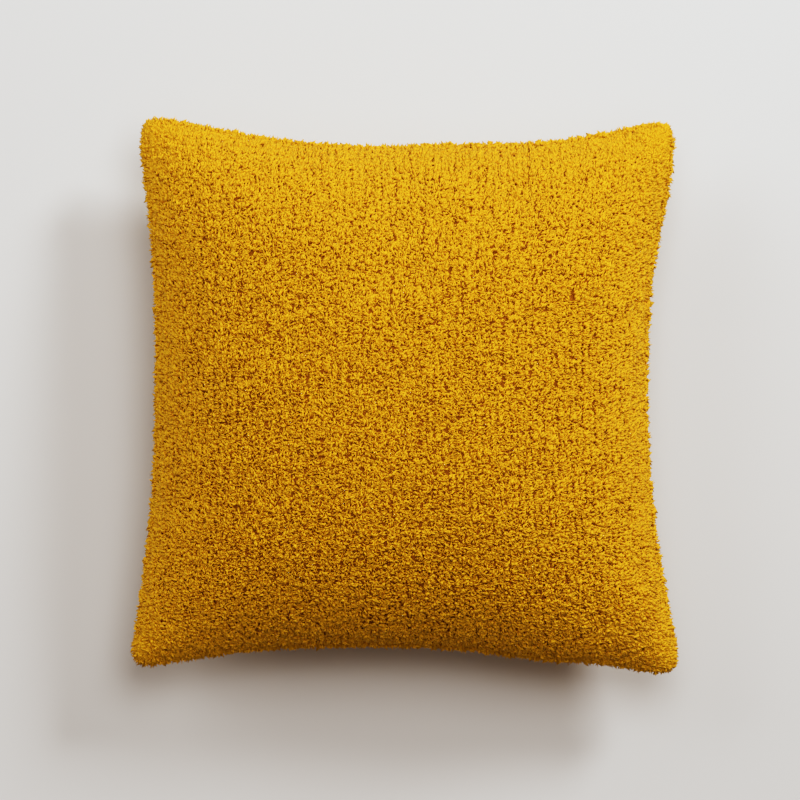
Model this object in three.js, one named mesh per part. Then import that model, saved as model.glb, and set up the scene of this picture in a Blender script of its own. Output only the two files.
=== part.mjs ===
// A square cushion cover in a long-pile knit, filled, lying on its back with its front face up.
// Units are millimetres. +Z is up, +X runs across the face to the right and +Y along it to the far side.
// The origin is on the ground under the middle of the cover.
import * as THREE from "three";

// The seam that joins the front and back panels, before the pile is added to it.
// x and y place each corner in plan, z is how high it lies above the ground, and radius is how wide it turns.
const CORNERS = {
  farLeft: { x: -214.5, y: 227.5, z: 66, radius: 23 },
  farRight: { x: 218.5, y: 224, z: 70, radius: 21 },
  nearLeft: { x: -220.5, y: -220, z: 62, radius: 17 },
  nearRight: { x: 224, y: -226.5, z: 65, radius: 21 },
};

// Each side is drawn in between its corners by the filling. drawnIn is the depth of the bow, deepest is where
// along the side it lies, from the side's left or near end, and a higher power has a straighter middle.
const SIDES = {
  left: { drawnIn: 20.5, deepest: 0.495, power: 2.25 },
  right: { drawnIn: 28, deepest: 0.495, power: 2.05 },
  far: { drawnIn: 28.5, deepest: 0.525, power: 2.45 },
  near: { drawnIn: 23.5, deepest: 0.49, power: 2.5 },
};
// Where the filling pushes a side out a little past its bow: at and reach are shares of the side's length.
const BULGES = [
  { side: "right", at: 0.875, reach: 0.09, out: 4 },
  { side: "near", at: 0.74, reach: 0.105, out: 4.7 },
  { side: "far", at: 0.59, reach: 0.115, out: 3.1 },
];

// The pile stands this far off the knitted ground, all round.
const PILE = 6;

// The crown of each panel above and below the seam, as the filling would round it in the air.
const FRONT_CROWN = 86;
const BACK_CROWN = 75;
const CROWN_FLATNESS = 2.6;
const CROWN_EDGE = 2;
// The crown stops just short of a full round at the seam, so the panels meet there at an open angle.
const SEAM_STOP = 0.985;
// The filling holds the middle of each side of the seam higher than the corners.
const SEAM_RISE = 6;

// The underside is flat where it rests, and rounds into that flat over this height.
const REST_BLEND = 4;
// What that rounding leaves lower than this is pressed flat too, so the flat has a clear edge to rest on.
const REST_EDGE = 0.5;

// Soft swells (rise above 0) and hollows (rise below 0) of the front face.
// x and y are the middle in plan, across and along the reach each way. They fade out towards the seam, from
// where the crown is down to UNEVEN_FROM of its height.
const UNEVEN_FROM = 0.25;
const UNEVEN = [
  { x: 200, y: 186, across: 14, along: 18, rise: -4 },
  { x: 184, y: 150, across: 14, along: 13, rise: -3 },
  { x: -198, y: 206, across: 12, along: 15, rise: -3 },
  { x: -172, y: 65, across: 13, along: 75, rise: -3 },
  { x: -182, y: -176, across: 16, along: 14, rise: -3 },
  { x: -128, y: 5, across: 34, along: 42, rise: 1.5 },
  { x: 150, y: 88, across: 28, along: 22, rise: 1.5 },
  { x: 152, y: 13, across: 20, along: 15, rise: 1.2 },
  { x: -57, y: -57, across: 32, along: 26, rise: -1.5 },
  { x: 70, y: -95, across: 44, along: 30, rise: 1.5 },
  { x: 30, y: 120, across: 60, along: 30, rise: -1.2 },
];

// The surface is a grid of this many steps each way, closer together towards the seam.
const STEPS = 44;
const EDGE_CROWDING = 0.75;
// The pile turns round the seam in this many strips.
const RIM_STRIPS = 3;

const FRONT = 1;
const BACK = -1;
// The pile at the seam stands as it does this share of the way out to it.
const PILE_TURNS_AT = 0.975;
const TANGENT_STEP = 1e-3;

const mix = (low, high, share) => low + (high - low) * share;
const hill = (offset) => Math.exp(-offset * offset);

// How far a side is drawn in at a share of its length: nothing at its ends, all of it at its deepest point,
// less what bulges out there.
function bow(name, share) {
  const { drawnIn, deepest, power } = SIDES[name];
  const centred = Math.pow(share, Math.log(0.5) / Math.log(deepest));
  const smooth = drawnIn * (1 - Math.pow(Math.abs(2 * centred - 1), power));
  return BULGES.filter(({ side }) => side === name).reduce(
    (depth, { at, reach, out }) => depth - out * hill((share - at) / reach),
    smooth,
  );
}

// A value that the four corners have, x, y, z or radius, spread evenly between them.
function betweenCorners(value, right, far) {
  const { farLeft, farRight, nearLeft, nearRight } = CORNERS;
  return mix(mix(nearLeft[value], nearRight[value], right), mix(farLeft[value], farRight[value], right), far);
}

// Rounds the corners of the unit square. Near a corner both ways are drawn in by the same share,
// with the power that lets the outline turn through the corner without a point.
function roundCorners(s, t) {
  const halfSide = (CORNERS.farRight.x - CORNERS.farLeft.x) / 2;
  const radius = betweenCorners("radius", (s + 1) / 2, (t + 1) / 2);
  const pull = (radius * (1 - Math.SQRT1_2)) / halfSide;
  const power = (1 / pull - 1) / 2;
  const scale = 1 - pull * Math.pow(Math.abs(s * t), power);
  return [s * scale, t * scale];
}

// The place in plan of a point of a panel: a patch spanned between the four bowed sides.
function plan(s, t) {
  const [roundS, roundT] = roundCorners(s, t);
  const right = (roundS + 1) / 2;
  const far = (roundT + 1) / 2;
  return {
    x: betweenCorners("x", right, far) + mix(bow("left", far), -bow("right", far), right),
    y: betweenCorners("y", right, far) + mix(bow("near", right), -bow("far", right), far),
  };
}

// The height of the seam's sheet: between its four corners, and higher at the middle of each side.
function seamHeight(s, t) {
  return betweenCorners("z", (s + 1) / 2, (t + 1) / 2) + SEAM_RISE * (1 - s * s * t * t);
}

// The crown along one way: 1 in the middle, 0 at the seam.
function crown(s) {
  const rounded = (share) => Math.pow(1 - Math.pow(share, CROWN_FLATNESS), 1 / CROWN_EDGE);
  const stop = rounded(SEAM_STOP);
  return (rounded(Math.abs(s) * SEAM_STOP) - stop) / (1 - stop);
}

function unevenness(x, y) {
  return UNEVEN.reduce(
    (sum, patch) => sum + patch.rise * hill((x - patch.x) / patch.across) * hill((y - patch.y) / patch.along),
    0,
  );
}

// A point of the knitted ground of one panel.
function ground(s, t, side) {
  const { x, y } = plan(s, t);
  const swell = crown(s) * crown(t);
  if (side === BACK) return new THREE.Vector3(x, y, seamHeight(s, t) - BACK_CROWN * swell);
  const rise = unevenness(x, y) * Math.min(1, swell / UNEVEN_FROM);
  return new THREE.Vector3(x, y, seamHeight(s, t) + FRONT_CROWN * swell + rise);
}

// The way the pile stands: straight out from the ground, and at the seam as it does just inside it.
function pileDirection(s, t, side) {
  const inS = THREE.MathUtils.clamp(s, -PILE_TURNS_AT, PILE_TURNS_AT);
  const inT = THREE.MathUtils.clamp(t, -PILE_TURNS_AT, PILE_TURNS_AT);
  const alongS = ground(inS + TANGENT_STEP, inT, side).sub(ground(inS - TANGENT_STEP, inT, side));
  const alongT = ground(inS, inT + TANGENT_STEP, side).sub(ground(inS, inT - TANGENT_STEP, side));
  return alongS.cross(alongT).normalize().multiplyScalar(side);
}

// Sets a point on the ground plane where it would reach below it, with a soft turn down to the flat's edge.
function rest(point) {
  if (point.z <= -REST_BLEND) point.z = 0;
  else if (point.z < REST_BLEND) point.z = (point.z + REST_BLEND) ** 2 / (4 * REST_BLEND);
  if (point.z < REST_EDGE) point.z = 0;
  return point;
}

// Steps from -1 to 1 that crowd towards both ends.
function gridStep(index) {
  const even = (2 * index) / STEPS - 1;
  return mix(even, Math.sin((even * Math.PI) / 2), EDGE_CROWDING);
}

// The seam's points in order, anticlockwise seen from above, as grid indices.
function seamLoop() {
  const loop = [];
  for (let i = 0; i < STEPS; i++) loop.push([i, 0]);
  for (let j = 0; j < STEPS; j++) loop.push([STEPS, j]);
  for (let i = STEPS; i > 0; i--) loop.push([i, STEPS]);
  for (let j = STEPS; j > 0; j--) loop.push([0, j]);
  return loop;
}

// Gathers the points and triangles of a closed skin. No point of it lies below the ground plane.
class Skin {
  points = [];
  triangles = [];

  addPoint(point) {
    return this.points.push(rest(point)) - 1;
  }

  addQuad(a, b, c, d) {
    this.triangles.push(a, b, c, a, c, d);
  }
}

// One panel: its knitted ground moved out by the pile. Returns its points, row by row.
function addPanel(skin, side) {
  const rows = [];
  for (let j = 0; j <= STEPS; j++) {
    rows.push([]);
    for (let i = 0; i <= STEPS; i++) {
      const s = gridStep(i);
      const t = gridStep(j);
      rows[j].push(skin.addPoint(ground(s, t, side).addScaledVector(pileDirection(s, t, side), PILE)));
    }
  }
  for (let j = 0; j < STEPS; j++) {
    for (let i = 0; i < STEPS; i++) {
      const corners = [rows[j][i], rows[j][i + 1], rows[j + 1][i + 1], rows[j + 1][i]];
      if (side === BACK) corners.reverse();
      skin.addQuad(...corners);
    }
  }
  return rows;
}

// The pile turns round the seam from the front panel's edge to the back panel's, point by point along the seam.
function addRim(skin, frontRows, backRows) {
  const loop = seamLoop();
  const seam = loop.map(([i, j]) => ground(gridStep(i), gridStep(j), FRONT));
  const strips = loop.map(([i, j], place) => {
    const before = seam.at(place - 1);
    const after = seam[(place + 1) % seam.length];
    const outward = new THREE.Vector3(after.y - before.y, before.x - after.x, 0).normalize();
    const [frontAngle, backAngle] = [FRONT, BACK].map((side) => {
      const direction = pileDirection(gridStep(i), gridStep(j), side);
      return Math.atan2(direction.z, direction.dot(outward));
    });
    const strip = [frontRows[j][i]];
    for (let k = 1; k < RIM_STRIPS; k++) {
      const angle = mix(frontAngle, backAngle, k / RIM_STRIPS);
      const point = seam[place].clone().addScaledVector(outward, PILE * Math.cos(angle));
      point.z += PILE * Math.sin(angle);
      strip.push(skin.addPoint(point));
    }
    strip.push(backRows[j][i]);
    return strip;
  });
  strips.forEach((strip, place) => {
    const next = strips[(place + 1) % strips.length];
    for (let k = 0; k < RIM_STRIPS; k++) skin.addQuad(strip[k], strip[k + 1], next[k + 1], next[k]);
  });
}

function coverGeometry() {
  const skin = new Skin();
  addRim(skin, addPanel(skin, FRONT), addPanel(skin, BACK));

  const geometry = new THREE.BufferGeometry();
  geometry.setFromPoints(skin.points);
  geometry.setIndex(skin.triangles);
  geometry.computeBoundingBox();
  const middle = geometry.boundingBox.getCenter(new THREE.Vector3());
  geometry.translate(-middle.x, -middle.y, 0);
  geometry.computeVertexNormals();
  return geometry;
}

const longPileKnit = new THREE.MeshStandardMaterial({ color: 0xd8980f, roughness: 0.95, metalness: 0 });

const cover = new THREE.Mesh(coverGeometry(), longPileKnit);
cover.name = "cushion_cover";

const part = new THREE.Group();
part.add(cover);

export default part;
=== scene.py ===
"""A square cushion cover in a long-pile knit, filled, lying on its back with its front face up.

Lengths are metres. +Z is up, +X runs across the face to the right and +Y along it to the far side, as in the
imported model. Each panel is a function of s, across, and t, along, which both run from -1 to 1.
"""
import math

import bpy
import numpy as np
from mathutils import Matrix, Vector


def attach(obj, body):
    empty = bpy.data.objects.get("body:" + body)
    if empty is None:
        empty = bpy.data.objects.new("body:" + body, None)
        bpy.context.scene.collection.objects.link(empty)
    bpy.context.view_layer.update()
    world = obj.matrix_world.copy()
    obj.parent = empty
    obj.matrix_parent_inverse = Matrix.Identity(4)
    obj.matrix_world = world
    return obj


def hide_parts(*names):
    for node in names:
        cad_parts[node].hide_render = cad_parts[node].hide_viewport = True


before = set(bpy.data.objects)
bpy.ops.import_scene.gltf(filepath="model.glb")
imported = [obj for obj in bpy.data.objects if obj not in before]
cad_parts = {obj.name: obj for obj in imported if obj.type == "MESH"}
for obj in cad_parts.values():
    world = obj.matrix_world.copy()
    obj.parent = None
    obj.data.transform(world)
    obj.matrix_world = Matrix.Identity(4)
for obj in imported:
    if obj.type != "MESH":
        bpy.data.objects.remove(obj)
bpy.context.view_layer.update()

# The seam that joins the two panels: each corner's place in plan, its height above the ground and how
# wide it turns.
FAR_LEFT = (-0.2145, 0.2275, 0.066, 0.023)
FAR_RIGHT = (0.2185, 0.2240, 0.070, 0.021)
NEAR_LEFT = (-0.2205, -0.2200, 0.062, 0.017)
NEAR_RIGHT = (0.2240, -0.2265, 0.065, 0.021)

# How far the filling draws each side in, where along the side it does so most, and the power of its bow.
SIDES = {
    "left": {"drawn_in": 0.0205, "deepest": 0.495, "power": 2.25},
    "right": {"drawn_in": 0.028, "deepest": 0.495, "power": 2.05},
    "far": {"drawn_in": 0.0285, "deepest": 0.525, "power": 2.45},
    "near": {"drawn_in": 0.0235, "deepest": 0.49, "power": 2.5},
}
# Where the filling pushes a side out past its bow. at and reach are shares of the side's length.
BULGES = [
    {"side": "right", "at": 0.875, "reach": 0.09, "out": 0.004},
    {"side": "near", "at": 0.74, "reach": 0.105, "out": 0.0047},
    {"side": "far", "at": 0.59, "reach": 0.115, "out": 0.0031},
]

# The two panels, and whether each one's crown stands above or below the seam.
PANELS = {"front": 1, "back": -1}
FRONT_CROWN = 0.086
BACK_CROWN = 0.075
CROWN_FLATNESS = 2.6
# The crown stops just short of a full round at the seam, so the panels meet there at an open angle.
SEAM_STOP = 0.985
# The filling holds the middle of each side of the seam higher than the corners.
SEAM_RISE = 0.006

# Soft swells and hollows of the front face: middle in plan, reach across and along, and rise. They fade
# out towards the seam, from where the crown is down to UNEVEN_FROM of its height.
UNEVEN_FROM = 0.25
UNEVEN = [
    {"x": 0.200, "y": 0.186, "across": 0.014, "along": 0.018, "rise": -0.004},
    {"x": 0.184, "y": 0.150, "across": 0.014, "along": 0.013, "rise": -0.003},
    {"x": -0.198, "y": 0.206, "across": 0.012, "along": 0.015, "rise": -0.003},
    {"x": -0.172, "y": 0.065, "across": 0.013, "along": 0.075, "rise": -0.003},
    {"x": -0.182, "y": -0.176, "across": 0.016, "along": 0.014, "rise": -0.003},
    {"x": -0.128, "y": 0.005, "across": 0.034, "along": 0.042, "rise": 0.0015},
    {"x": 0.150, "y": 0.088, "across": 0.028, "along": 0.022, "rise": 0.0015},
    {"x": 0.152, "y": 0.013, "across": 0.020, "along": 0.015, "rise": 0.0012},
    {"x": -0.057, "y": -0.057, "across": 0.032, "along": 0.026, "rise": -0.0015},
    {"x": 0.070, "y": -0.095, "across": 0.044, "along": 0.030, "rise": 0.0015},
    {"x": 0.030, "y": 0.120, "across": 0.060, "along": 0.030, "rise": -0.0012},
]

# The knitted ground is a grid of this many steps each way, closer together towards the seam.
GROUND_STEPS = 88
EDGE_CROWDING = 0.75
# The pile crushed under the cushion keeps the ground this far off the floor. The ground turns softly into
# that flat from REST_BLEND above it.
CRUSHED_PILE = 0.0025
REST_BLEND = 0.003

# Filling: the pressure inside, the frames it acts for, the cloth's steps in each of them and the furthest
# that the filling may move the knit.
FILLING_PRESSURE = 4
FILLING_FRAMES = 20
CLOTH_STEPS = 6
FILLING_REACH = 0.006

# The knit: legs of yarn lean to and fro from wale to wale, one above the other along each wale. Next
# wales are half a course apart. A leg reaches this far both ways from its middle.
WALE = 0.0055
COURSE = 0.0036
WALE_STRAY = 0.0003
COURSE_STRAY = 0.0003
LEG_LEAN = 0.45
LEG_REACH = 0.002
# The ways across and along the cloth are measured over this much of a grid step to each side.
SLOPE_STEP = 0.05

# The parts of the pile: the pieces that each is made in, side by side, to keep each one light, the locks
# on each of its legs, and how much wider and longer they are than LOCK_WIDTH and LOCK_LENGTH.
PILE_PARTS = {
    "front": {"pieces": 4, "locks_per_leg": 15, "wider": 1, "longer": 1},
    "back": {"pieces": 2, "locks_per_leg": 7, "wider": 1.35, "longer": 1.1},
    "crushed": {"pieces": 1, "locks_per_leg": 4, "wider": 1.35, "longer": 1},
    "seam": {"pieces": 1, "locks_per_leg": 7, "wider": 1, "longer": 1.2},
}
# Along the seam the pile of both panels meets, and its legs stand this close.
SEAM_SPACING = 0.0013
# Under the cushion the pile is crushed where the ground lies this low.
CRUSHED_BELOW = 0.004
# Pile that would sink into the floor is pressed up onto it, softly over this height.
FLOOR_SOFTNESS = 0.0006

# How the pile lies, as slopes from upright: in swirls of about SWIRL_CELL, combed a little one way,
# drooping outwards towards the seam, and each leg and each lock a little its own way. By RIB_LEAN, pairs
# of wales lean together, which leaves a faint furrow between one pair and the next.
SWIRL = 0.12
SWIRL_CELL = 0.015
COMBED = 0.4
COMBED_WAY = (0.6, 0.8)
RIB_LEAN = 0.08
DROOP = 0.5
DROOP_POWER = 2.5
LEG_STRAY = 0.2
LOCK_STRAY = 0.24
# soft_noise blends random levels of this spread. Blending makes them calmer.
NOISE_SPREAD = 1.6

# The locks of a leg spread by these slopes, to both sides of the leg and along it. Their roots stand up to
# ROOT_SPREAD to either side of it, and ROOT_DEPTH deep in the cloth.
FAN = 0.8
FLARE = 0.42
ROOT_SPREAD = 0.0011
ROOT_DEPTH = 0.0006
# A lock's length, as shares of LOCK_LENGTH drawn for each lock and again for its leg. At the sides of a
# leg the locks are shorter by SIDE_SHORTER of it.
LOCK_LENGTH = 0.0062
SHORTEST, LONGEST = 0.55, 1.2
SHORTEST_LEG, LONGEST_LEG = 0.88, 1.1
SIDE_SHORTER = 0.2
# A lock's width where it is widest, as shares of LOCK_WIDTH, and how far up the lock that is.
LOCK_WIDTH = 0.0013
NARROWEST, WIDEST = 0.75, 1.25
WIDEST_LOW, WIDEST_HIGH = 0.5, 0.68
# There it arches and curls aside by these shares of its length. LOCK_TURN is the spread of the locks' turn
# about their own axes.
ARCH_LOW, ARCH_HIGH = 0.1, 0.42
CURL = 0.34
LOCK_TURN = 0.35
# This much of the way across is added to a lock's breadth, for one that stands straight out has none.
BREADTH_HINT = 0.05
# A lock's root, left edge, right edge and tip, as four faces that look outwards.
LOCK_FACES = np.array([[0, 2, 1], [0, 1, 3], [0, 3, 2], [1, 2, 3]])

# The yarn's colours at these shares of a lock's length, from root to tip, and the share of them that the
# deepest dyed lock has. The tip has the yarn's own golden colour; towards the root the colours turn darker
# and redder as painted shade, for the shade deep in the pile.
YARN_STOPS = (0.0, 0.35, 0.7, 1.0)
YARN_COLOURS_WITH_PAINTED_ROOT_SHADE = ((0.51, 0.15, 0.001), (0.63, 0.255, 0.002), (0.74, 0.37, 0.002), (0.79, 0.435, 0.003))
DEEPEST_LOCK = 0.82
YARN_ROUGHNESS = 0.85
YARN_SHINE = 0.25
# The dyes of the locks are this many columns of the pile's own map. A lock takes up TINT_REACH of a
# column each way from its middle, and its edges lie LOCK_MIDDLE of the way up the map.
UV_MAP = "OFBake"
TINTS = 64
TINT_REACH = 0.4
LOCK_MIDDLE = 0.6

# The ground shows between the locks. Its two colours are the yarn's mustard darkened to deep brown as
# painted shade, for the shade deep under the pile. It is mottled between them by noise of this scale and
# detail, over this range of its strength.
GROUND_PAINTED_SHADE_COLOURS = ((0.19, 0.062, 0.001), (0.27, 0.088, 0.001))
GROUND_ROUGHNESS = 0.95
GROUND_SHINE = 0.15
MOTTLE_SCALE = 420
MOTTLE_DETAIL = 2
MOTTLE_RANGE = (0.35, 0.65)

# Every random draw starts from this seed.
SEED = 20
# A length of nothing counts as this much where it divides.
TINY = 1e-12

# The camera looks straight down at the seam's plane from CAMERA_DISTANCE above it. There a pixel of the
# photograph is PIXEL wide, and the middle of the cover lies at MIDDLE_PIXEL, counted from the top left
# corner.
PIXEL = 0.000814
PHOTO_SIZE = 800
MIDDLE_PIXEL = (404.8, 395.6)
SEAM_PLANE = 0.072
CAMERA_DISTANCE = 3.0

FLOOR_SIZE = 8.0
FLOOR_SHADE = (0.565, 0.622, 0.652)
# Soft lights, all turned to the middle of the cover. turn is from +Y towards +X, rise above the floor,
# both in degrees.
LIGHT_TARGET = (0, 0, 0.07)
LIGHTS = [
    {"name": "window", "turn": 44, "rise": 32, "distance": 3.4, "size": 0.8, "watts": 60},
    {"name": "high", "turn": 26, "rise": 70, "distance": 1.8, "size": 1.0, "watts": 11},
    {"name": "overhead", "turn": 0, "rise": 90, "distance": 5, "size": 4.2, "watts": 16},
    {"name": "left_side", "turn": -52, "rise": 30, "distance": 2.4, "size": 1.4, "watts": 15},
]
# The strength of the even light from all round.
ROOM_LIGHT = 0.01
# The picture's tones follow (1 + b) x^p / (x^p + b), as film does: deeper shades and softer lights. b is
# TONE_BEND. The power p of red, green and blue differs a little, so that shades turn warm.
TONE_POWERS = (1.05, 1.2, 1.32)
TONE_BEND = 0.35
TONE_POINTS = (0.05, 0.15, 0.3, 0.5, 0.75)


def hill(offset):
    """A bell: 1 at nothing, and down to nothing both ways."""
    return np.exp(-(offset**2))


def mix(low, high, share):
    """From low at a share of 0 to high at a share of 1."""
    return low + (high - low) * share


def unit(vectors):
    """Vectors brought to a length of 1."""
    return vectors / np.maximum(np.linalg.norm(vectors, axis=-1, keepdims=True), TINY)


def bow(side, share):
    """How far a side is drawn in at a share of its length: 0 at its ends, all of it at its deepest point,
    less what the filling pushes out there."""
    shape = SIDES[side]
    centred = np.power(share, math.log(0.5) / math.log(shape["deepest"]))
    depth = shape["drawn_in"] * (1 - np.abs(2 * centred - 1) ** shape["power"])
    for bulge in BULGES:
        if bulge["side"] == side:
            depth = depth - bulge["out"] * hill((share - bulge["at"]) / bulge["reach"])
    return depth


def between_corners(right, far):
    """What the seam's four corners have, x, y, z and radius, spread evenly between them at shares to the
    right and far side."""
    right, far = right[..., None], far[..., None]
    near_side = mix(np.array(NEAR_LEFT), np.array(NEAR_RIGHT), right)
    far_side = mix(np.array(FAR_LEFT), np.array(FAR_RIGHT), right)
    return mix(near_side, far_side, far)


def crown(s):
    """The crown along one way: a flattened round, 1 in the middle and 0 at the seam."""
    stop = math.sqrt(1 - SEAM_STOP**CROWN_FLATNESS)
    rounded = np.sqrt(1 - (np.abs(s) * SEAM_STOP) ** CROWN_FLATNESS)
    return (rounded - stop) / (1 - stop)


def ground(s, t, panel):
    """The knitted ground of a panel: the bowed patch between the corners, with the corners turned round,
    and the panel's crown above or below it."""
    half_side = (FAR_RIGHT[0] - FAR_LEFT[0]) / 2
    unturned = between_corners((s + 1) / 2, (t + 1) / 2)
    pull = unturned[..., 3] * (1 - math.sqrt(0.5)) / half_side
    turned = 1 - pull * np.abs(s * t) ** ((1 / pull - 1) / 2)
    right, far = (s * turned + 1) / 2, (t * turned + 1) / 2
    place = between_corners(right, far)[..., :3]
    place[..., 0] += mix(bow("left", far), -bow("right", far), right)
    place[..., 1] += mix(bow("near", right), -bow("far", right), far)

    height = unturned[..., 2] + SEAM_RISE * (1 - s**2 * t**2)
    swell = crown(s) * crown(t)
    if panel == "back":
        place[..., 2] = height - BACK_CROWN * swell
        return place
    unevenness = sum(
        patch["rise"]
        * hill((place[..., 0] - patch["x"]) / patch["across"])
        * hill((place[..., 1] - patch["y"]) / patch["along"])
        for patch in UNEVEN
    )
    place[..., 2] = height + FRONT_CROWN * swell + unevenness * np.minimum(1, swell / UNEVEN_FROM)
    return place


def lie_flat(height):
    """Sets the ground's height on the crushed pile where it would sink into it, with a soft turn into the
    flat."""
    above = height - CRUSHED_PILE
    blended = (above + REST_BLEND) ** 2 / (4 * REST_BLEND)
    soft = np.where(above <= -REST_BLEND, 0, np.where(above < REST_BLEND, blended, above))
    return soft + CRUSHED_PILE


def grid_steps():
    """Steps from -1 to 1 that crowd towards both ends."""
    even = np.linspace(-1, 1, GROUND_STEPS + 1)
    return mix(even, np.sin(even * math.pi / 2), EDGE_CROWDING)


def grid_faces(numbers, flip):
    """The four-cornered faces of a grid of vertex numbers, turned over where flip is true."""
    corners = [numbers[:-1, :-1], numbers[:-1, 1:], numbers[1:, 1:], numbers[1:, :-1]]
    faces = np.stack(corners[::-1] if flip else corners, axis=-1)
    return faces.reshape(-1, 4)


def new_mesh(name, points, faces):
    """A smooth mesh object in the scene, from an array of points and one of faces that all have the same
    number of corners."""
    mesh = bpy.data.meshes.new(name)
    mesh.vertices.add(len(points))
    mesh.vertices.foreach_set("co", points.astype(np.float32).ravel())
    corner_count = faces.shape[1]
    mesh.loops.add(faces.size)
    mesh.loops.foreach_set("vertex_index", faces.astype(np.int32).ravel())
    mesh.polygons.add(len(faces))
    mesh.polygons.foreach_set("loop_start", np.arange(len(faces), dtype=np.int32) * corner_count)
    mesh.polygons.foreach_set("use_smooth", np.ones(len(faces), dtype=bool))
    mesh.update(calc_edges=True)
    piece = bpy.data.objects.new(name, mesh)
    bpy.context.scene.collection.objects.link(piece)
    return piece


def panel_numbers():
    """Vertex numbers of each panel's grid. The two panels share the vertices of the seam."""
    side = GROUND_STEPS + 1
    front = np.arange(side * side).reshape(side, side)
    back = front.copy()
    inner = side - 2
    back[1:-1, 1:-1] = side * side + np.arange(inner * inner).reshape(inner, inner)
    return {"front": front, "back": back}


def ground_points():
    """The points of both panels as panel_numbers counts them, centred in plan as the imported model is."""
    steps = grid_steps()
    s, t = np.meshgrid(steps, steps)
    front = ground(s, t, "front")
    back = ground(s, t, "back")
    points = np.concatenate([front.reshape(-1, 3), back[1:-1, 1:-1].reshape(-1, 3)])
    middle = (points[:, :2].min(axis=0) + points[:, :2].max(axis=0)) / 2
    points[:, :2] -= middle
    points[:, 2] = lie_flat(points[:, 2])
    return points


def points_of(mesh):
    """A mesh's vertices as an array."""
    flat = np.empty(len(mesh.vertices) * 3, dtype=np.float32)
    mesh.vertices.foreach_get("co", flat)
    return flat.reshape(-1, 3).astype(float)


def normals_of(mesh):
    """A mesh's smooth normals as an array."""
    flat = np.empty(len(mesh.vertices) * 3, dtype=np.float32)
    mesh.vertex_normals.foreach_get("vector", flat)
    return flat.reshape(-1, 3).astype(float)


def press_out(cover, seam):
    """Lets the filling press the knit out by Blender's cloth, held along the seam. A point moves no
    further than FILLING_REACH, and none sinks into the crushed pile."""
    held = cover.vertex_groups.new(name="seam")
    held.add([int(number) for number in seam], 1, "REPLACE")
    cloth = cover.modifiers.new("filling", "CLOTH")
    cloth.settings.quality = CLOTH_STEPS
    cloth.settings.vertex_group_mass = "seam"
    cloth.settings.use_pressure = True
    cloth.settings.uniform_pressure_force = FILLING_PRESSURE
    cloth.settings.effector_weights.gravity = 0
    cloth.point_cache.frame_end = FILLING_FRAMES
    scene = bpy.context.scene
    for number in range(1, FILLING_FRAMES + 1):
        scene.frame_set(number)
    pressed = cover.evaluated_get(bpy.context.evaluated_depsgraph_get())
    after = points_of(pressed.data)
    cover.modifiers.remove(cloth)
    cover.vertex_groups.remove(held)
    scene.frame_set(1)

    before = points_of(cover.data)
    moved = after - before
    distance = np.linalg.norm(moved, axis=1, keepdims=True)
    moved *= np.minimum(1, FILLING_REACH / np.maximum(distance, TINY))
    settled = before + moved
    settled[:, 2] = np.maximum(settled[:, 2], CRUSHED_PILE)
    cover.data.vertices.foreach_set("co", settled.astype(np.float32).ravel())
    cover.data.update()


def make_cover():
    """The filled cover's knitted ground: both panels and the seam as one closed skin."""
    numbers = panel_numbers()
    front = numbers["front"]
    faces = np.concatenate([grid_faces(front, flip=False), grid_faces(numbers["back"], flip=True)])
    cover = new_mesh("knitted_cover", ground_points(), faces)
    seam = np.concatenate([front[0], front[-1], front[:, 0], front[:, -1]])
    press_out(cover, np.unique(seam))
    return cover


def along_cloth(points):
    """How far along the cloth each point of a line of points lies from the middle one."""
    lengths = np.linalg.norm(np.diff(points, axis=0), axis=1)
    run = np.concatenate([[0], np.cumsum(lengths)])
    return run - run[len(run) // 2]


def stitches(start, end, pitch):
    """Even places along a line of cloth, about a pitch apart, with half a step to spare at either end."""
    count = int(round((end - start) / pitch))
    return start + (np.arange(count) + 0.5) * (end - start) / count


def on_grid(values, rows, columns):
    """Values of a grid at fractional rows and columns, straight between its points."""
    row, column = np.floor(rows).astype(int), np.floor(columns).astype(int)
    row, column = np.clip(row, 0, GROUND_STEPS - 1), np.clip(column, 0, GROUND_STEPS - 1)
    up, over = (rows - row)[..., None], (columns - column)[..., None]
    below = mix(values[row, column], values[row, column + 1], over)
    above = mix(values[row + 1, column], values[row + 1, column + 1], over)
    return mix(below, above, up)


def soft_noise(x, y, cell, draw):
    """Smooth noise about 0 with a spread a little over 1: random levels on a square net of that cell,
    blended softly."""
    column, row = (x - x.min()) / cell, (y - y.min()) / cell
    levels = draw.normal(0, NOISE_SPREAD, (int(row.max()) + 2, int(column.max()) + 2))
    left, low = column.astype(int), row.astype(int)
    right_share, high_share = column - left, row - low
    right_share = right_share**2 * (3 - 2 * right_share)
    high_share = high_share**2 * (3 - 2 * high_share)
    lower = mix(levels[low, left], levels[low, left + 1], right_share)
    upper = mix(levels[low + 1, left], levels[low + 1, left + 1], right_share)
    return mix(lower, upper, high_share)


def way_of_pile(wale, course, edge_share, draw):
    """How the pile of each leg sways, as slopes across and along: in swirls, a little combed, and
    drooping outwards towards the seam. edge_share is how far the leg lies from the middle to the seam,
    each way."""
    droop = DROOP * np.sign(edge_share) * np.minimum(np.abs(edge_share), 1) ** DROOP_POWER
    swirl = np.stack([soft_noise(wale, course, SWIRL_CELL, draw) for _ in range(2)], axis=-1)
    return SWIRL * swirl + COMBED * np.array(COMBED_WAY) + droop + draw.normal(0, LEG_STRAY, swirl.shape)


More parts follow.
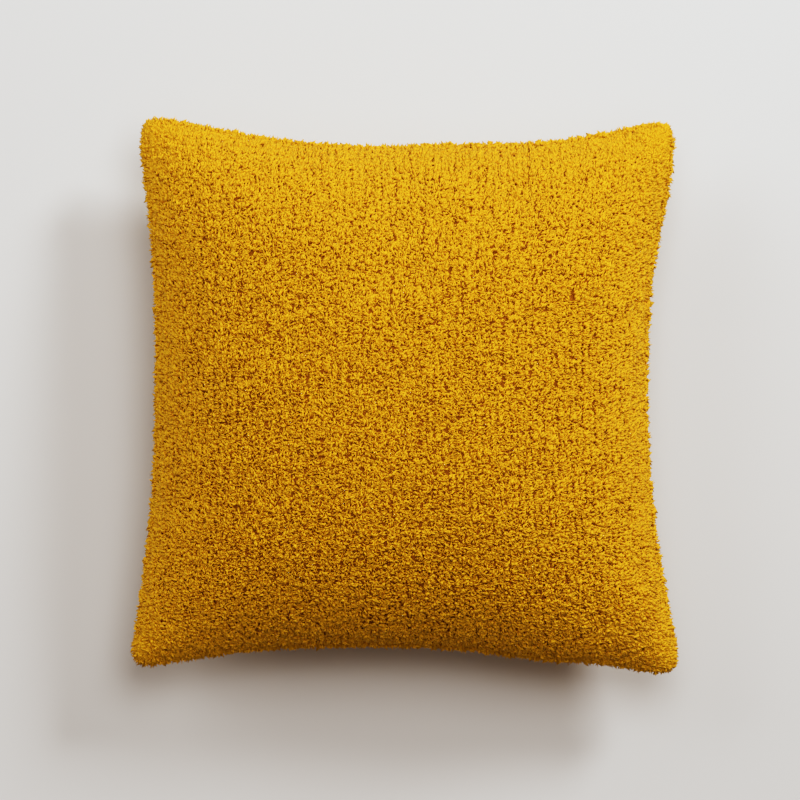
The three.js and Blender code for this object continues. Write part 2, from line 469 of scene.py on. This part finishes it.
def lay_legs(cover, panel, draw):
    """The legs of yarn of a panel, course by course: each one's place on the cloth, the way out of it,
    the ways across and along it, the way that the leg runs, and how its pile sways."""
    numbers = panel_numbers()[panel]
    points = points_of(cover.data)[numbers]
    normals = normals_of(cover.data)[numbers]
    middle = GROUND_STEPS // 2
    across_run = along_cloth(points[middle])
    along_run = along_cloth(points[:, middle])
    wales = stitches(across_run[0], across_run[-1], WALE)
    courses = stitches(along_run[0], along_run[-1], COURSE)
    odd = np.arange(len(wales)) % 2
    to_and_fro = np.broadcast_to(1 - 2 * odd, (len(courses), len(wales))).ravel()
    wale, course = np.meshgrid(wales, courses)
    course = course + (odd - 0.5) * COURSE / 2
    wale = (wale + draw.normal(0, WALE_STRAY, wale.shape)).ravel()
    course = (course + draw.normal(0, COURSE_STRAY, course.shape)).ravel()

    index = np.arange(GROUND_STEPS + 1)
    columns = np.interp(wale, across_run, index)
    rows = np.interp(course, along_run, index)
    place = on_grid(points, rows, columns)
    out = unit(on_grid(normals, rows, columns))
    over = np.clip(columns + SLOPE_STEP, 0, GROUND_STEPS)
    under = np.clip(columns - SLOPE_STEP, 0, GROUND_STEPS)
    across = on_grid(points, rows, over) - on_grid(points, rows, under)
    across = unit(across - out * np.sum(across * out, axis=-1, keepdims=True))
    along = np.cross(out, across)

    edge_share = np.stack([wale / across_run[-1], course / along_run[-1]], axis=-1)
    sway = way_of_pile(wale, course, edge_share, draw)
    sway[:, 0] += RIB_LEAN * to_and_fro
    # Seen from its outside, the back panel's way along runs towards the near side.
    sway[:, 1] *= PANELS[panel]
    lean = LEG_LEAN * to_and_fro
    run = np.stack([np.sin(lean), np.cos(lean)], axis=-1)
    return {"place": place, "out": out, "across": across, "along": along, "run": run, "sway": sway}


def lay_seam(cover, draw):
    """Short legs of yarn all along the seam, where the pile of both panels meets: each one's place, the
    way out of it, level with the floor, the ways along the seam and across it, the way that the leg runs,
    which is along the seam, and how its pile sways."""
    front = panel_numbers()["front"]
    loop = np.concatenate([front[0, :-1], front[:-1, -1], front[-1, :0:-1], front[::-1, 0]])
    points = points_of(cover.data)[loop]
    lengths = np.linalg.norm(np.diff(points, axis=0), axis=1)
    run = np.concatenate([[0], np.cumsum(lengths)])
    count = int(run[-1] / SEAM_SPACING)
    at = (np.arange(count) + draw.uniform(0, 1, count)) * run[-1] / count

    def along_seam(distance):
        return np.stack([np.interp(distance % run[-1], run, points[:, axis]) for axis in range(3)], axis=-1)

    across = unit(along_seam(at + SEAM_SPACING) - along_seam(at - SEAM_SPACING))
    out = unit(np.stack([across[:, 1], -across[:, 0], np.zeros(count)], axis=-1))
    return {
        "place": along_seam(at),
        "out": out,
        "across": across,
        "along": np.cross(out, across),
        "run": np.tile([1.0, 0.0], (count, 1)),
        "sway": draw.normal(0, LEG_STRAY, (count, 2)),
    }


def lay_pile(cover, draw):
    """The legs of yarn of each part of the pile: the front, the back, what is crushed under it, and the
    seam."""
    back = lay_legs(cover, "back", draw)
    crushed = back["place"][:, 2] < CRUSHED_BELOW
    return {
        "front": lay_legs(cover, "front", draw),
        "back": {key: values[~crushed] for key, values in back.items()},
        "crushed": {key: values[crushed] for key, values in back.items()},
        "seam": lay_seam(cover, draw),
    }


def lock_points(legs, part, draw):
    """The points of the locks on some legs of yarn: for each lock its root, left edge, right edge and
    tip. Locks stand all along a leg and fan out to both sides of it, and all of them sway the way that
    the pile lies there. A lock runs from its root in the cloth to its tip. Its two edges lie a little
    over half way up, where it arches and curls aside."""
    place, out, across, along = (legs[key][:, None, :] for key in ("place", "out", "across", "along"))
    shape = (len(place), part["locks_per_leg"])
    one_per_leg = (len(place), 1)

    def in_cloth(flat, upright):
        return flat[..., :1] * across + flat[..., 1:] * along + upright[..., None] * out

    run = legs["run"][:, None, :]
    aside = np.stack([run[..., 1], -run[..., 0]], axis=-1)
    fan = draw.uniform(-1, 1, shape)
    up_leg = draw.uniform(-1, 1, shape)
    slope = legs["sway"][:, None, :] + (FAN * fan)[..., None] * aside + (FLARE * up_leg)[..., None] * run
    slope = slope + draw.normal(0, LOCK_STRAY, (*shape, 2))
    axis = unit(in_cloth(slope, np.ones(shape)))
    length = part["longer"] * LOCK_LENGTH * (1 - SIDE_SHORTER * fan**2)
    length = length * draw.uniform(SHORTEST, LONGEST, shape)
    length = length * draw.uniform(SHORTEST_LEG, LONGEST_LEG, one_per_leg)
    spread = (ROOT_SPREAD * fan)[..., None] * aside + (LEG_REACH * up_leg)[..., None] * run
    root = place + in_cloth(spread, np.full(shape, -ROOT_DEPTH))
    tip = root + axis * length[..., None]

    breadth = unit(np.cross(axis, out) + BREADTH_HINT * across)
    breadth = unit(breadth + draw.normal(0, LOCK_TURN, (*shape, 1)) * np.cross(axis, breadth))
    arch = np.cross(breadth, axis)
    middle = root + axis * (length * draw.uniform(WIDEST_LOW, WIDEST_HIGH, shape))[..., None]
    middle = middle + arch * (length * draw.uniform(ARCH_LOW, ARCH_HIGH, shape))[..., None]
    middle = middle + breadth * (length * draw.uniform(-CURL, CURL, shape))[..., None]
    half_width = part["wider"] * LOCK_WIDTH / 2 * draw.uniform(NARROWEST, WIDEST, shape)
    to_edge = breadth * half_width[..., None]
    return np.stack([root, middle - to_edge, middle + to_edge, tip], axis=-2).reshape(-1, 4, 3)


def press_on_floor(points):
    """Lifts the points that would sink into the floor: each height z becomes c log(1 + e^(z / c)), where
    c is FLOOR_SOFTNESS."""
    points[..., 2] = FLOOR_SOFTNESS * np.logaddexp(0, points[..., 2] / FLOOR_SOFTNESS)


def turn_outwards(points):
    """Swaps the two edges of each lock whose faces would look inwards, which its volume's sign tells."""
    root, left, right, tip = (points[:, corner] for corner in range(4))
    volume = np.einsum("ij,ij->i", np.cross(left - root, right - root), tip - root)
    inside_out = volume < 0
    points[inside_out] = points[inside_out][:, [0, 2, 1, 3]]


def dye_locks(piece, faces, draw):
    """Lays a pile's map: each lock in a column drawn for it, which picks its dye, with its root at 0 and
    its tip at 1."""
    locks = len(faces) // len(LOCK_FACES)
    tint = (draw.integers(0, TINTS, locks) + 0.5) / TINTS
    reach = TINT_REACH / TINTS
    vertex_u = np.stack([tint, tint - reach, tint + reach, tint], axis=-1).ravel()
    vertex_v = np.tile([0, LOCK_MIDDLE, LOCK_MIDDLE, 1], locks)
    uv = piece.data.uv_layers.new(name=UV_MAP)
    corner_uv = np.stack([vertex_u[faces], vertex_v[faces]], axis=-1)
    uv.data.foreach_set("uv", corner_uv.astype(np.float32).ravel())


def make_pile(name, legs, part, draw):
    """The pile on the legs of yarn of a strip of a panel: slim closed blades, one for each lock."""
    points = lock_points(legs, part, draw)
    press_on_floor(points)
    turn_outwards(points)
    faces = (np.arange(len(points))[:, None, None] * 4 + LOCK_FACES).reshape(-1, 3)
    piece = new_mesh(name, points.reshape(-1, 3), faces)
    dye_locks(piece, faces, draw)
    return piece


def new_material(name, roughness, shine):
    """A new material with nodes, of this roughness and shine, and its shader."""
    material = bpy.data.materials.new(name)
    material.use_nodes = True
    shader = material.node_tree.nodes["Principled BSDF"]
    shader.inputs["Roughness"].default_value = roughness
    shader.inputs["Specular IOR Level"].default_value = shine
    return material, shader


def add_node(material, kind, **inputs):
    """A new node of a material, with these values on its sockets."""
    node = material.node_tree.nodes.new(kind)
    for key, value in inputs.items():
        node.inputs[key].default_value = value
    return node


def join(material, source, target):
    """Joins an output of one of a material's nodes to an input of another."""
    material.node_tree.links.new(source, target)


def colour_socket(sockets, name):
    """The one of a mix node's sockets that has this name and holds a colour."""
    return next(socket for socket in sockets if socket.type == "RGBA" and socket.name == name)


def dimmed(colour, share):
    """A colour dimmed to this share of it, with the alpha of 1 that a ramp wants."""
    return (*(channel * share for channel in colour), 1)


def yarn_ramp(material, dye):
    """The yarn's colours from root to tip, darker towards the root as painted shade, dimmed to this share of
    them.
    """
    ramp = add_node(material, "ShaderNodeValToRGB")
    points = ramp.color_ramp.elements
    for share in YARN_STOPS[1:-1]:
        points.new(share)
    for point, shade in zip(points, YARN_COLOURS_WITH_PAINTED_ROOT_SHADE):
        point.color = dimmed(shade, dye)
    return ramp


def pile_material():
    """Long-pile yarn: golden at the tip, and darker and redder towards the root as painted shade deep in the
    pile. Each lock lies somewhere between a deeper and a brighter dye."""
    material, shader = new_material("long_pile_yarn", YARN_ROUGHNESS, YARN_SHINE)
    uv = add_node(material, "ShaderNodeUVMap")
    uv.uv_map = UV_MAP
    split = add_node(material, "ShaderNodeSeparateXYZ")
    join(material, uv.outputs["UV"], split.inputs["Vector"])

    scaled = add_node(material, "ShaderNodeMath")
    scaled.operation = "MULTIPLY"
    scaled.inputs[1].default_value = TINTS
    column = add_node(material, "ShaderNodeMath")
    column.operation = "FLOOR"
    chance = add_node(material, "ShaderNodeTexWhiteNoise")
    chance.noise_dimensions = "1D"
    join(material, split.outputs["X"], scaled.inputs[0])
    join(material, scaled.outputs[0], column.inputs[0])
    join(material, column.outputs[0], chance.inputs["W"])

    dyed = add_node(material, "ShaderNodeMix")
    dyed.data_type = "RGBA"
    join(material, chance.outputs["Value"], dyed.inputs["Factor"])
    for end, dye in (("A", DEEPEST_LOCK), ("B", 1)):
        ramp = yarn_ramp(material, dye)
        join(material, split.outputs["Y"], ramp.inputs["Fac"])
        join(material, ramp.outputs["Color"], colour_socket(dyed.inputs, end))
    join(material, colour_socket(dyed.outputs, "Result"), shader.inputs["Base Color"])
    return material


def knit_material():
    """The knitted ground under the pile: the yarn's mustard darkened to deep brown as painted shade,
    mottled.
    """
    material, shader = new_material("knitted_ground", GROUND_ROUGHNESS, GROUND_SHINE)
    place = add_node(material, "ShaderNodeTexCoord")
    noise = add_node(material, "ShaderNodeTexNoise", Scale=MOTTLE_SCALE, Detail=MOTTLE_DETAIL)
    join(material, place.outputs["Object"], noise.inputs["Vector"])
    ramp = add_node(material, "ShaderNodeValToRGB")
    for point, position, shade in zip(ramp.color_ramp.elements, MOTTLE_RANGE, GROUND_PAINTED_SHADE_COLOURS):
        point.position = position
        point.color = (*shade, 1)
    join(material, noise.outputs["Fac"], ramp.inputs["Fac"])
    join(material, ramp.outputs["Color"], shader.inputs["Base Color"])
    return material


def floor_material():
    """Plain matt floor, a shade off white."""
    material, shader = new_material("plain_floor", roughness=1, shine=0)
    shader.inputs["Base Color"].default_value = (*FLOOR_SHADE, 1)
    return material


def make_camera():
    """The camera of the photograph's view."""
    camera = bpy.data.objects.new("camera", bpy.data.cameras.new("camera"))
    centre = PHOTO_SIZE / 2
    aside = (centre - MIDDLE_PIXEL[0]) * PIXEL
    nearer = (MIDDLE_PIXEL[1] - centre) * PIXEL
    camera.location = (aside, nearer, SEAM_PLANE + CAMERA_DISTANCE)
    camera.data.angle = 2 * math.atan(centre * PIXEL / CAMERA_DISTANCE)
    bpy.context.scene.collection.objects.link(camera)
    bpy.context.scene.camera = camera


def make_light(row):
    """One square soft light from a row of LIGHTS."""
    turn, rise = math.radians(row["turn"]), math.radians(row["rise"])
    towards = Vector((math.sin(turn) * math.cos(rise), math.cos(turn) * math.cos(rise), math.sin(rise)))
    light = bpy.data.objects.new(row["name"], bpy.data.lights.new(row["name"], "AREA"))
    light.data.energy = row["watts"]
    light.data.size = row["size"]
    light.location = Vector(LIGHT_TARGET) + towards * row["distance"]
    light.rotation_euler = (-towards).to_track_quat("-Z", "Y").to_euler()
    bpy.context.scene.collection.objects.link(light)


def make_floor():
    """A plain floor under the cover."""
    half = FLOOR_SIZE / 2
    corners = np.array([[-half, -half, 0], [half, -half, 0], [half, half, 0], [-half, half, 0]])
    floor = new_mesh("floor", corners, np.array([[0, 1, 2, 3]]))
    floor.data.materials.append(floor_material())


def set_tones(view):
    """Shows the picture's tones by the curve that TONE_POWERS and TONE_BEND give."""
    view.view_transform = "Standard"
    view.use_curve_mapping = True
    for curve, power in zip(view.curve_mapping.curves, TONE_POWERS):
        for x in TONE_POINTS:
            raised = x**power
            curve.points.new(x, (1 + TONE_BEND) * raised / (raised + TONE_BEND))
    view.curve_mapping.update()


def make_stage():
    """The floor, the lights and how the picture's tones are shown."""
    make_floor()
    for row in LIGHTS:
        make_light(row)
    scene = bpy.context.scene
    scene.world = bpy.data.worlds.new("room")
    scene.world.use_nodes = True
    background = scene.world.node_tree.nodes["Background"]
    background.inputs["Color"].default_value = (1, 1, 1, 1)
    background.inputs["Strength"].default_value = ROOM_LIGHT
    set_tones(scene.view_settings)


def main():
    """The camera, the cover with its pile, and the stage."""
    draw = np.random.default_rng(SEED)
    make_camera()
    cover = make_cover()
    cover.data.materials.append(knit_material())
    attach(cover, "root")
    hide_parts("cushion_cover")

    yarn = pile_material()
    for part, legs in lay_pile(cover, draw).items():
        order = np.argsort(legs["place"][:, 0])
        for number, strip in enumerate(np.array_split(order, PILE_PARTS[part]["pieces"]), 1):
            strip_legs = {key: values[strip] for key, values in legs.items()}
            pile = make_pile(f"{part}_pile_{number}", strip_legs, PILE_PARTS[part], draw)
            pile.data.materials.append(yarn)
            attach(pile, "root")
    make_stage()


main()
